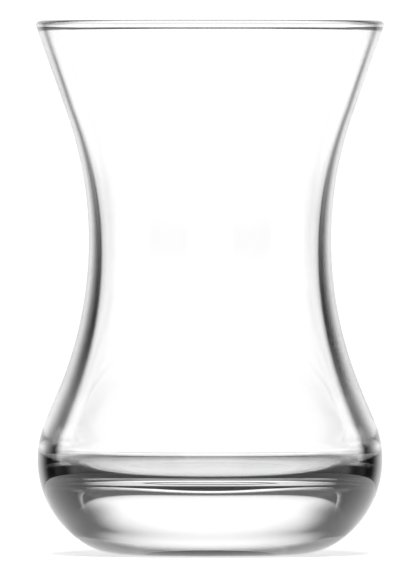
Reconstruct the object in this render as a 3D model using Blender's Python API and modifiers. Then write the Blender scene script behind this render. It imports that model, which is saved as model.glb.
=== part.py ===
"""Waisted tea glass: one turned piece of clear glass, open at the top, with a thick solid base.

The section is drawn once in the plane of X and Z, as straight runs and arcs that meet without a kink,
and a Screw modifier turns it about Z. The foot stands on Z = 0 and the axis is the line X = Y = 0.
"""

import math

import bpy

# Outside of the glass: lengths in metres, angles in degrees, leans measured from the vertical
HEIGHT = 0.0900
WAIST_HEIGHT = 0.0529
WAIST_RADIUS = 0.02046
WAIST_CURVE = 0.0645
FLARE_LEAN = 19.6
SHOULDER_LEAN = 22.9
BELLY_CURVE = 0.01666
HEEL_LEAN = 55.4
HEEL_CURVE = 0.01296

# Inside of the glass: its waist lies a little lower, so the wall thins from the belly to the mouth
CAVITY_WAIST_HEIGHT = 0.0507
CAVITY_WAIST_RADIUS = 0.01834
CAVITY_WAIST_CURVE = 0.0676
CAVITY_FLARE_LEAN = 21.3
CAVITY_SHOULDER_LEAN = 21.9
CAVITY_BELLY_CURVE = 0.0050
CAVITY_BELLY_LEAN = 43.0
CAVITY_CORNER_CURVE = 0.0042
FLOOR_SLOPE = 6.0
FLOOR_HEIGHT = 0.0113

# Lip: a round bead, level with the outside and proud of the inside, and the hollow curve under it
BEAD_CURVE = 0.00078
CREASE_CURVE = 0.00030

# Fineness of the mesh: facets round the axis, and how far a facet may lie inside a true arc
SIDES = 64
FACET_DEPTH = 0.00003


def sine(angle):
    return math.sin(math.radians(angle))


def cosine(angle):
    return math.cos(math.radians(angle))


def tangent(angle):
    return math.tan(math.radians(angle))


def run(start, heading, length):
    """The end of a straight run; headings are in degrees from +X, turning towards +Z."""
    return (start[0] + length * cosine(heading), start[1] + length * sine(heading))


def arc(start, heading, radius, turn):
    """The points along an arc that leaves start at heading; a positive turn goes to the left."""
    side = math.copysign(radius, turn)
    centre = (start[0] - side * sine(heading), start[1] + side * cosine(heading))
    widest_step = 2.0 * math.degrees(math.acos(1.0 - FACET_DEPTH / radius))
    steps = math.ceil(abs(turn) / widest_step)
    points = []
    for step in range(1, steps + 1):
        angle = heading + turn * step / steps
        points.append((centre[0] + side * sine(angle), centre[1] - side * cosine(angle)))
    return points


def outside_below_waist():
    """Waist, straight shoulder, belly and heel; the shoulder takes up what height the arcs leave."""
    arcs_drop = WAIST_CURVE * sine(SHOULDER_LEAN)
    arcs_drop += BELLY_CURVE * (sine(SHOULDER_LEAN) + sine(HEEL_LEAN))
    arcs_drop += HEEL_CURVE * (1.0 - sine(HEEL_LEAN))
    shoulder_length = (WAIST_HEIGHT - arcs_drop) / cosine(SHOULDER_LEAN)

    points = [(WAIST_RADIUS, WAIST_HEIGHT)]
    points += arc(points[-1], -90.0, WAIST_CURVE, SHOULDER_LEAN)
    points.append(run(points[-1], SHOULDER_LEAN - 90.0, shoulder_length))
    points += arc(points[-1], SHOULDER_LEAN - 90.0, BELLY_CURVE, -SHOULDER_LEAN - HEEL_LEAN)
    points += arc(points[-1], -90.0 - HEEL_LEAN, HEEL_CURVE, HEEL_LEAN - 90.0)
    return points


def cavity_corner(start):
    """The two arcs that carry the cavity's wall round into its floor."""
    points = arc(start, CAVITY_SHOULDER_LEAN - 90.0, CAVITY_BELLY_CURVE, -CAVITY_SHOULDER_LEAN - CAVITY_BELLY_LEAN)
    corner_turn = 90.0 - CAVITY_BELLY_LEAN - FLOOR_SLOPE
    return points + arc(points[-1], -90.0 - CAVITY_BELLY_LEAN, CAVITY_CORNER_CURVE, -corner_turn)


def cavity_below_waist():
    """Waist, straight wall, corner and dished floor; the wall is as long as the floor's height asks."""
    points = [(CAVITY_WAIST_RADIUS, CAVITY_WAIST_HEIGHT)]
    points += arc(points[-1], -90.0, CAVITY_WAIST_CURVE, CAVITY_SHOULDER_LEAN)
    corner_end = cavity_corner(points[-1])[-1]
    dish = tangent(FLOOR_SLOPE / 2.0)
    spare = corner_end[1] - FLOOR_HEIGHT - corner_end[0] * dish
    wall_length = spare / (cosine(CAVITY_SHOULDER_LEAN) + sine(CAVITY_SHOULDER_LEAN) * dish)

    points.append(run(points[-1], CAVITY_SHOULDER_LEAN - 90.0, wall_length))
    points += cavity_corner(points[-1])
    floor_curve = points[-1][0] / sine(FLOOR_SLOPE)
    points += arc(points[-1], FLOOR_SLOPE - 180.0, floor_curve, -FLOOR_SLOPE)
    points[-1] = (0.0, FLOOR_HEIGHT)
    return points


def bead_centre(flare_start):
    """Centre of the bead, which touches both the outer flare and the top level of the glass."""
    height = HEIGHT - BEAD_CURVE
    on_flare = flare_start[0] + (height - flare_start[1]) * tangent(FLARE_LEAN)
    return (on_flare - BEAD_CURVE / cosine(FLARE_LEAN), height)


def lip(cavity_flare_start, outer_flare_start):
    """The hollow curve at the top of the cavity's flare, then the bead, round to the outer flare."""
    centre = bead_centre(outer_flare_start)
    right = centre[0] - cavity_flare_start[0]
    up = centre[1] - cavity_flare_start[1]
    bead_depth = right * cosine(CAVITY_FLARE_LEAN) - up * sine(CAVITY_FLARE_LEAN)
    bead_along = right * sine(CAVITY_FLARE_LEAN) + up * cosine(CAVITY_FLARE_LEAN)

    both_curves = BEAD_CURVE + CREASE_CURVE
    crease_turn = math.degrees(math.acos((bead_depth + CREASE_CURVE) / both_curves))
    flare_length = bead_along - both_curves * sine(crease_turn)
    flare_heading = 90.0 - CAVITY_FLARE_LEAN
    points = [run(cavity_flare_start, flare_heading, flare_length)]
    points += arc(points[-1], flare_heading, CREASE_CURVE, crease_turn)
    bead_start = flare_heading + crease_turn
    points += arc(points[-1], bead_start, BEAD_CURVE, -bead_start)
    return points + arc(points[-1], 0.0, BEAD_CURVE, -90.0 - FLARE_LEAN)


def section():
    """The whole section, from the middle of the cavity's floor over the lip to the middle of the foot."""
    cavity_flare = arc((CAVITY_WAIST_RADIUS, CAVITY_WAIST_HEIGHT), 90.0, CAVITY_WAIST_CURVE, -CAVITY_FLARE_LEAN)
    outer_flare = arc((WAIST_RADIUS, WAIST_HEIGHT), 90.0, WAIST_CURVE, -FLARE_LEAN)

    points = cavity_below_waist()[::-1]
    points += cavity_flare
    points += lip(cavity_flare[-1], outer_flare[-1])
    points += outer_flare[::-1]
    points += outside_below_waist()
    points.append((0.0, 0.0))
    return points


def clear_glass():
    material = bpy.data.materials.new("clear_glass")
    material.use_nodes = True
    shader = material.node_tree.nodes["Principled BSDF"]
    shader.inputs["Base Color"].default_value = (0.97, 0.98, 0.98, 1.0)
    shader.inputs["Roughness"].default_value = 0.0
    shader.inputs["Metallic"].default_value = 0.0
    shader.inputs["IOR"].default_value = 1.52
    shader.inputs["Transmission Weight"].default_value = 1.0
    return material


def turned_glass(collection):
    """Turns the section about Z into one closed solid."""
    points = section()
    mesh = bpy.data.meshes.new("glass")
    edges = [(i, i + 1) for i in range(len(points) - 1)]
    mesh.from_pydata([(x, 0.0, z) for x, z in points], edges, [])
    mesh.materials.append(clear_glass())
    glass = bpy.data.objects.new("glass", mesh)
    collection.objects.link(glass)

    turning = glass.modifiers.new("turning", "SCREW")
    turning.axis = "Z"
    turning.steps = SIDES
    turning.render_steps = SIDES
    turning.use_merge_vertices = True
    turning.merge_threshold = 0.00001
    turning.use_smooth_shade = True
    return glass


for old in list(bpy.data.objects):
    bpy.data.objects.remove(old)

tea_glass = bpy.data.collections.new("tea_glass")
bpy.context.scene.collection.children.link(tea_glass)
turned_glass(tea_glass)
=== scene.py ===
"""Waisted tea glass, dressed: clear blown glass on a pale table, lit from soft white panels."""

import math

import bpy
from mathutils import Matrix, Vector


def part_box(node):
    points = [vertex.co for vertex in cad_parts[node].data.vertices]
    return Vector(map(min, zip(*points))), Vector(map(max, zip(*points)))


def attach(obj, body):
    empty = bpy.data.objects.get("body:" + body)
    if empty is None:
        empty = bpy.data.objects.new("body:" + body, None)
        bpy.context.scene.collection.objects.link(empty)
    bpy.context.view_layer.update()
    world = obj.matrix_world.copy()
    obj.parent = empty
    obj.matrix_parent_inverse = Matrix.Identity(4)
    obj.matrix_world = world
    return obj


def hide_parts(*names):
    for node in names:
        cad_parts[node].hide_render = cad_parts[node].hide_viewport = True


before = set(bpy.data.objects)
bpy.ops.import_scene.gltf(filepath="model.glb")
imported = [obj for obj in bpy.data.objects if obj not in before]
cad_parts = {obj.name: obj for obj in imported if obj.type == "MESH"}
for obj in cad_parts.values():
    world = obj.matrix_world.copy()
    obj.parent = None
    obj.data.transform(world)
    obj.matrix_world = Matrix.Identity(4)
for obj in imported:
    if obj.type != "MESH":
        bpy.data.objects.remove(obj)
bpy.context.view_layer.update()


# Outside of the glass. The real glass is one piece of soda-lime glass, blown in a mould that turns, so every
# level is a true circle: a slim waist, a mouth that flares above it, a round belly and a flat foot below.
# Lengths are in metres. Angles are in degrees, and a lean is measured from the vertical.
LOWEST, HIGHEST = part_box("glass")
HEIGHT = HIGHEST.z - LOWEST.z
WAIST_HEIGHT = 0.0529
WAIST_RADIUS = 0.02046
WAIST_CURVE = 0.0645
FLARE_LEAN = 19.6
SHOULDER_LEAN = 22.9
BELLY_CURVE = 0.01666
HEEL_LEAN = 55.4
HEEL_CURVE = 0.01296
ARC_DEPTH = 0.000002


def sine(angle):
    return math.sin(math.radians(angle))


def cosine(angle):
    return math.cos(math.radians(angle))


def tangent(angle):
    return math.tan(math.radians(angle))


def run(start, heading, length):
    """The end of a straight run; headings are in degrees from +X, turning towards +Z."""
    return (start[0] + length * cosine(heading), start[1] + length * sine(heading))


def arc(start, heading, radius, turn):
    """Points along an arc that leaves start at heading, close enough to lie within ARC_DEPTH of it."""
    side = math.copysign(radius, turn)
    centre = (start[0] - side * sine(heading), start[1] + side * cosine(heading))
    widest_step = 2.0 * math.degrees(math.acos(1.0 - ARC_DEPTH / radius))
    steps = math.ceil(abs(turn) / widest_step)
    points = []
    for step in range(1, steps + 1):
        angle = heading + turn * step / steps
        points.append((centre[0] + side * sine(angle), centre[1] - side * cosine(angle)))
    return points


def outside_below_waist():
    """Waist, straight shoulder, belly and heel, down to the edge of the foot."""
    arcs_drop = WAIST_CURVE * sine(SHOULDER_LEAN)
    arcs_drop += BELLY_CURVE * (sine(SHOULDER_LEAN) + sine(HEEL_LEAN))
    arcs_drop += HEEL_CURVE * (1.0 - sine(HEEL_LEAN))
    shoulder_length = (WAIST_HEIGHT - arcs_drop) / cosine(SHOULDER_LEAN)
    points = [(WAIST_RADIUS, WAIST_HEIGHT)]
    points += arc(points[-1], -90.0, WAIST_CURVE, SHOULDER_LEAN)
    points.append(run(points[-1], SHOULDER_LEAN - 90.0, shoulder_length))
    points += arc(points[-1], SHOULDER_LEAN - 90.0, BELLY_CURVE, -SHOULDER_LEAN - HEEL_LEAN)
    points += arc(points[-1], -90.0 - HEEL_LEAN, HEEL_CURVE, HEEL_LEAN - 90.0)
    return points


outer_flare = arc((WAIST_RADIUS, WAIST_HEIGHT), 90.0, WAIST_CURVE, -FLARE_LEAN)


# Inside of the glass. Air blown into the hot glass makes this hollow. Its waist lies lower than the outer
# one, so the wall thins from the belly to the mouth, and a thick solid base is left under its dished floor.
CAVITY_WAIST_HEIGHT = 0.0507
CAVITY_WAIST_RADIUS = 0.01834
CAVITY_WAIST_CURVE = 0.0676
CAVITY_FLARE_LEAN = 21.3
CAVITY_SHOULDER_LEAN = 21.9
CAVITY_BELLY_CURVE = 0.0050
CAVITY_BELLY_LEAN = 43.0
CAVITY_CORNER_CURVE = 0.0042
FLOOR_SLOPE = 6.0
FLOOR_HEIGHT = 0.0113


def cavity_corner(start):
    """The two arcs that carry the cavity's wall round into its floor."""
    belly_turn = -CAVITY_SHOULDER_LEAN - CAVITY_BELLY_LEAN
    corner_turn = 90.0 - CAVITY_BELLY_LEAN - FLOOR_SLOPE
    points = arc(start, CAVITY_SHOULDER_LEAN - 90.0, CAVITY_BELLY_CURVE, belly_turn)
    return points + arc(points[-1], -90.0 - CAVITY_BELLY_LEAN, CAVITY_CORNER_CURVE, -corner_turn)


def cavity_below_waist():
    """Waist, straight wall, corner and dished floor, down to the middle of the floor."""
    points = [(CAVITY_WAIST_RADIUS, CAVITY_WAIST_HEIGHT)]
    points += arc(points[-1], -90.0, CAVITY_WAIST_CURVE, CAVITY_SHOULDER_LEAN)
    corner_end = cavity_corner(points[-1])[-1]
    dish = tangent(FLOOR_SLOPE / 2.0)
    spare = corner_end[1] - FLOOR_HEIGHT - corner_end[0] * dish
    wall_length = spare / (cosine(CAVITY_SHOULDER_LEAN) + sine(CAVITY_SHOULDER_LEAN) * dish)
    points.append(run(points[-1], CAVITY_SHOULDER_LEAN - 90.0, wall_length))
    points += cavity_corner(points[-1])
    points += arc(points[-1], FLOOR_SLOPE - 180.0, points[-1][0] / sine(FLOOR_SLOPE), -FLOOR_SLOPE)
    points[-1] = (0.0, FLOOR_HEIGHT)
    return points


cavity_flare = arc((CAVITY_WAIST_RADIUS, CAVITY_WAIST_HEIGHT), 90.0, CAVITY_WAIST_CURVE, -CAVITY_FLARE_LEAN)


# Lip. The cut edge of the mouth is melted smooth in a flame, and the soft glass draws up into a round bead.
# The bead is level with the outside, stands proud of the inside, and meets it in a small hollow curve.
BEAD_CURVE = 0.00078
CREASE_CURVE = 0.00030


def lip():
    """The hollow curve at the top of the cavity's flare, then the bead, round to the outer flare."""
    height = HEIGHT - BEAD_CURVE
    on_flare = outer_flare[-1][0] + (height - outer_flare[-1][1]) * tangent(FLARE_LEAN)
    right = on_flare - BEAD_CURVE / cosine(FLARE_LEAN) - cavity_flare[-1][0]
    up = height - cavity_flare[-1][1]
    bead_depth = right * cosine(CAVITY_FLARE_LEAN) - up * sine(CAVITY_FLARE_LEAN)
    bead_along = right * sine(CAVITY_FLARE_LEAN) + up * cosine(CAVITY_FLARE_LEAN)

    both_curves = BEAD_CURVE + CREASE_CURVE
    crease_turn = math.degrees(math.acos((bead_depth + CREASE_CURVE) / both_curves))
    flare_length = bead_along - both_curves * sine(crease_turn)
    flare_heading = 90.0 - CAVITY_FLARE_LEAN
    points = [run(cavity_flare[-1], flare_heading, flare_length)]
    points += arc(points[-1], flare_heading, CREASE_CURVE, crease_turn)
    bead_start = flare_heading + crease_turn
    points += arc(points[-1], bead_start, BEAD_CURVE, -bead_start)
    return points + arc(points[-1], 0.0, BEAD_CURVE, -90.0 - FLARE_LEAN)


# The glass itself. The section above is turned once round the axis, as the mould turns round the hot glass,
# and makes one solid wall and base with no seam and no join. Its points from the top of the lip down to the
# foot are marked as outside, so that the painted shade on the outer surface can differ from that inside.
SIDES = 256
JOIN_DISTANCE = 0.000002


def turned_glass():
    section = cavity_below_waist()[::-1] + cavity_flare + lip() + outer_flare[::-1] + outside_below_waist()
    section.append((0.0, 0.0))
    mesh = bpy.data.meshes.new("tea_glass")
    edges = [(i, i + 1) for i in range(len(section) - 1)]
    mesh.from_pydata([(x, 0.0, z) for x, z in section], edges, [])
    top = max(range(len(section)), key=lambda i: section[i][1])
    outside = mesh.attributes.new("outside", "FLOAT", "POINT")
    for i in range(top, len(section)):
        outside.data[i].value = 1.0
    piece = bpy.data.objects.new("tea_glass", mesh)
    bpy.context.scene.collection.objects.link(piece)
    turning = piece.modifiers.new("turning", "SCREW")
    turning.axis = "Z"
    turning.steps = SIDES
    turning.render_steps = SIDES
    turning.use_merge_vertices = True
    turning.merge_threshold = JOIN_DISTANCE
    turning.use_smooth_shade = True
    return piece


tea_glass = turned_glass()


# Clear glass. Fire-polished soda-lime glass has no grain. What shows is its refraction, the faint long
# ripple that the mould leaves, and the grey of its edges, which is painted shade: Base Color darkened by
# slant and height, where the glass bends the dark of the room into view.
REFRACTION = 1.52
RIPPLE_SCALE = (60.0, 60.0, 9.0)
RIPPLE_DETAIL = 1.0
RIPPLE_DEPTH = 0.00001

# Painted shades, which darken the Base Color: the slant where each starts, the slant where it is full,
# and what is then left of the light.
# Slant is 0 on a surface that faces the eye and 1 on one seen edge on.
HEEL_PAINTED_SHADE = (0.42, 0.68, 0.05)
BASE_PAINTED_SHADE = (0.22, 0.52, 0.01)
RIM_PAINTED_SHADE = (0.08, 0.36, 0.001)
CORNER_PAINTED_SHADE = (0.20, 0.42, 0.05)
FLOOR_PAINTED_SHADE = (0.72, 0.90, 0.15)
LIP_PAINTED_SHADE = (0.35, 0.65, 0.005)

# Heights over which one painted shade gives way to the next, in metres
HEEL_TOP = (0.0020, 0.0045)
BASE_TOP = (0.0095, 0.0115)
RIM_TOP = (0.0150, 0.0180)
FLOOR_TOP = (0.0122, 0.0128)
CORNER_TOP = (0.0138, 0.0170)
LIP_FOOT = (0.0891, 0.0895)

# Painted shade on the wall: its Base Color goes grey where the eye just misses its inner face, and clears
# again towards its outline. The slant at that place grows over this span of height, and the slants of the
# wall's painted shade are counted from it.
INNER_FACE_SPAN = (0.033, 0.083)
INNER_FACE_SLANT = (0.50, 0.67)
WALL_PAINTED_SHADE = (-0.02, 0.06, 0.08)
WALL_PAINTED_SHADE_CLEARS = (0.62, 0.85, 0.50)


def clear_glass():
    material = bpy.data.materials.new("clear_glass")
    material.use_nodes = True
    nodes = material.node_tree.nodes
    links = material.node_tree.links
    shader = nodes["Principled BSDF"]
    shader.inputs["Roughness"].default_value = 0.0
    shader.inputs["IOR"].default_value = REFRACTION
    shader.inputs["Transmission Weight"].default_value = 1.0

    place = nodes.new("ShaderNodeTexCoord").outputs["Object"]
    stretch = nodes.new("ShaderNodeMapping")
    stretch.inputs["Scale"].default_value = RIPPLE_SCALE
    links.new(place, stretch.inputs["Vector"])
    ripple = nodes.new("ShaderNodeTexNoise")
    ripple.inputs["Scale"].default_value = 1.0
    ripple.inputs["Detail"].default_value = RIPPLE_DETAIL
    links.new(stretch.outputs["Vector"], ripple.inputs["Vector"])
    bump = nodes.new("ShaderNodeBump")
    bump.inputs["Distance"].default_value = RIPPLE_DEPTH
    bump.inputs["Strength"].default_value = 1.0
    links.new(ripple.outputs["Fac"], bump.inputs["Height"])
    links.new(bump.outputs["Normal"], shader.inputs["Normal"])

    def ramp(value, span, first, last):
        """first up to the start of the span, then smoothly over to last at its end."""
        made = nodes.new("ShaderNodeMapRange")
        made.interpolation_type = "SMOOTHSTEP"
        links.new(value, made.inputs["Value"])
        made.inputs["From Min"].default_value = span[0]
        made.inputs["From Max"].default_value = span[1]
        for name, number in zip(("To Min", "To Max"), (first, last)):
            if isinstance(number, bpy.types.NodeSocket):
                links.new(number, made.inputs[name])
            else:
                made.inputs[name].default_value = number
        return made.outputs["Result"]

    # Painted shade: the Base Color is darkened by slant and by height, outside at heel, base, rim and wall,
    # inside at the cavity's floor and corner, and at the lip; the outside attribute picks between the two
    # sides.
    slant = nodes.new("ShaderNodeLayerWeight").outputs["Facing"]

    def painted_shade(values):
        return ramp(slant, values[:2], 1.0, values[2])

    axes = nodes.new("ShaderNodeSeparateXYZ")
    links.new(place, axes.inputs[0])
    height = axes.outputs["Z"]
    past_inner_face = nodes.new("ShaderNodeMath")
    past_inner_face.operation = "SUBTRACT"
    links.new(slant, past_inner_face.inputs[0])
    links.new(ramp(height, INNER_FACE_SPAN, *INNER_FACE_SLANT), past_inner_face.inputs[1])
    wall_shade_clearing = ramp(slant, WALL_PAINTED_SHADE_CLEARS[:2], WALL_PAINTED_SHADE[2], WALL_PAINTED_SHADE_CLEARS[2])
    wall = ramp(past_inner_face.outputs[0], WALL_PAINTED_SHADE[:2], 1.0, wall_shade_clearing)

    outer = ramp(height, HEEL_TOP, painted_shade(HEEL_PAINTED_SHADE), painted_shade(BASE_PAINTED_SHADE))
    outer = ramp(height, BASE_TOP, outer, painted_shade(RIM_PAINTED_SHADE))
    outer = ramp(height, RIM_TOP, outer, wall)
    corner = ramp(height, CORNER_TOP, painted_shade(CORNER_PAINTED_SHADE), 1.0)
    inner = ramp(height, FLOOR_TOP, painted_shade(FLOOR_PAINTED_SHADE), corner)
    outside = nodes.new("ShaderNodeAttribute")
    outside.attribute_name = "outside"
    both = ramp(outside.outputs["Fac"], (0.0, 1.0), inner, outer)
    glass_colour_with_painted_shade = ramp(height, LIP_FOOT, both, painted_shade(LIP_PAINTED_SHADE))
    links.new(glass_colour_with_painted_shade, shader.inputs["Base Color"])
    return material


tea_glass.data.materials.append(clear_glass())
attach(tea_glass, "root")
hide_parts("glass")


# Table. A round board of white laminate with a fine matt grain, on which the glass stands by its weight.
# It glows a little, in place of the light that a real glass lets down through itself onto the board.
TABLE_RADIUS = 0.10
TABLE_SIDES = 128
TABLE_GAP = 0.00005
TABLE_WHITE = (0.90, 0.90, 0.90, 1.0)
TABLE_SHINE = 0.2
TABLE_GRAIN = 2500.0
TABLE_ROUGHNESS = (0.55, 0.75)
TABLE_GLOW = 0.65


def pale_table():
    middle = (0.0, 0.0, -TABLE_GAP)
    bpy.ops.mesh.primitive_circle_add(
        vertices=TABLE_SIDES, radius=TABLE_RADIUS, fill_type="NGON", location=middle)
    board = bpy.context.active_object
    board.name = "pale_table"
    material = bpy.data.materials.new("pale_table")
    material.use_nodes = True
    nodes = material.node_tree.nodes
    links = material.node_tree.links
    shader = nodes["Principled BSDF"]
    shader.inputs["Base Color"].default_value = TABLE_WHITE
    shader.inputs["Specular IOR Level"].default_value = TABLE_SHINE
    shader.inputs["Emission Color"].default_value = (1.0, 1.0, 1.0, 1.0)
    shader.inputs["Emission Strength"].default_value = TABLE_GLOW
    place = nodes.new("ShaderNodeTexCoord").outputs["Object"]
    grain = nodes.new("ShaderNodeTexNoise")
    grain.inputs["Scale"].default_value = TABLE_GRAIN
    links.new(place, grain.inputs["Vector"])
    matt = nodes.new("ShaderNodeMapRange")
    matt.inputs["To Min"].default_value = TABLE_ROUGHNESS[0]
    matt.inputs["To Max"].default_value = TABLE_ROUGHNESS[1]
    links.new(grain.outputs["Fac"], matt.inputs["Value"])
    links.new(matt.outputs["Result"], shader.inputs["Roughness"])
    board.data.materials.append(material)
    return board


pale_table()


# Studio light. White cloth panels stand round the glass, tall and wide behind it, low and narrow at its
# other sides, with dark gaps between them that draw the edges of clear glass. The floor past the table is
# white near by and dim far off. A soft lamp over the camera lights the table and doesn't show in the glass.
PANEL_LIGHT = 1.15
GAP_LIGHT = 0.05
SIDE_HEIGHT = 0.32
SIDE_WIDTH = 0.60
WIDENED_ANGLE = 0.65
LAMP_LIGHT = 2.4
LAMP_HEIGHT = 62.0
LAMP_SPREAD = 30.0

# Where each fade of the light starts and ends, in degrees. A panel is wider in its upper part, so there an
# angle off its middle counts for WIDENED_ANGLE of what it is.
PANEL_EDGE = (22.0, 42.0)
PANEL_TOP = (20.0, 34.0)
PANEL_FOOT = (-7.0, -16.0)
PANEL_WIDENS = (8.0, 20.0)
SIDE_TURN = (50.0, 70.0)
FLOOR_FADE = (-16.5, -7.0)


def light_panels():
    world = bpy.data.worlds.new("studio")
    bpy.context.scene.world = world
    world.use_nodes = True
    nodes = world.node_tree.nodes
    links = world.node_tree.links

    def math_node(operation, *values):
        made = nodes.new("ShaderNodeMath")
        made.operation = operation
        for socket, value in zip(made.inputs, values):
            if isinstance(value, bpy.types.NodeSocket):
                links.new(value, socket)
            else:
                socket.default_value = value
        return made.outputs[0]

    def fade(value, span, left=0.0):
        """1 up to the start of the span, then smoothly down to what is left at its end."""
        made = nodes.new("ShaderNodeMapRange")
        made.interpolation_type = "SMOOTHSTEP"
        links.new(value, made.inputs["Value"])
        made.inputs["From Min"].default_value = math.radians(span[0])
        made.inputs["From Max"].default_value = math.radians(span[1])
        made.inputs["To Min"].default_value = 1.0
        made.inputs["To Max"].default_value = left
        return made.outputs["Result"]

    direction = nodes.new("ShaderNodeTexCoord").outputs["Generated"]
    axes = nodes.new("ShaderNodeSeparateXYZ")
    links.new(direction, axes.inputs[0])
    across = math_node("ABSOLUTE", axes.outputs["X"])
    along = math_node("ABSOLUTE", axes.outputs["Y"])
    shorter = math_node("MINIMUM", across, along)
    longer = math_node("MAXIMUM", across, along)
    off_panel = math_node("ARCTAN2", shorter, longer)
    off_back = math_node("ARCTAN2", across, axes.outputs["Y"])
    rise = math_node("ARCSINE", axes.outputs["Z"])

    width = fade(off_back, SIDE_TURN, left=SIDE_WIDTH)
    height = fade(off_back, SIDE_TURN, left=SIDE_HEIGHT)
    widened = math_node("MULTIPLY", off_panel, fade(rise, PANEL_WIDENS, left=WIDENED_ANGLE))
    past_middle = math_node("DIVIDE", widened, width)
    past_eye_level = math_node("DIVIDE", rise, height)
    panel = math_node("MULTIPLY", fade(past_middle, PANEL_EDGE), fade(past_eye_level, PANEL_TOP))
    panel = math_node("MULTIPLY", panel, fade(rise, PANEL_FOOT))
    lit = math_node("MAXIMUM", panel, fade(rise, FLOOR_FADE))
    brightness = math_node("MULTIPLY_ADD", lit, PANEL_LIGHT - GAP_LIGHT, GAP_LIGHT)
    links.new(brightness, nodes["Background"].inputs["Strength"])
    nodes["Background"].inputs["Color"].default_value = (1.0, 1.0, 1.0, 1.0)


def table_lamp():
    lamp = bpy.data.lights.new("table_lamp", "SUN")
    lamp.energy = LAMP_LIGHT
    lamp.angle = math.radians(LAMP_SPREAD)
    hung = bpy.data.objects.new("table_lamp", lamp)
    hung.rotation_euler = (math.radians(90.0 - LAMP_HEIGHT), 0.0, 0.0)
    bpy.context.scene.collection.objects.link(hung)
    hung.visible_glossy = False
    hung.visible_transmission = False


light_panels()
table_lamp()
bpy.context.scene.view_settings.view_transform = "Standard"


# Camera. It stands far off and a little below the level of the lip, as a long lens sees a glass on a table,
# and tilts down by less than a degree, so the mouth shows as a thin line.
CAMERA_PLACE = Vector((0.0, -2.96, 0.0786))
CAMERA_AIM = Vector((0.0, 0.0, 0.0449))
SHOWN_HEIGHT = 0.0971


def camera():
    data = bpy.data.cameras.new("camera")
    sight = CAMERA_AIM - CAMERA_PLACE
    data.lens = data.sensor_width * sight.length / SHOWN_HEIGHT
    made = bpy.data.objects.new("camera", data)
    made.location = CAMERA_PLACE
    made.rotation_mode = "QUATERNION"
    made.rotation_quaternion = sight.to_track_quat("-Z", "Y")
    bpy.context.scene.collection.objects.link(made)
    bpy.context.scene.camera = made


camera()
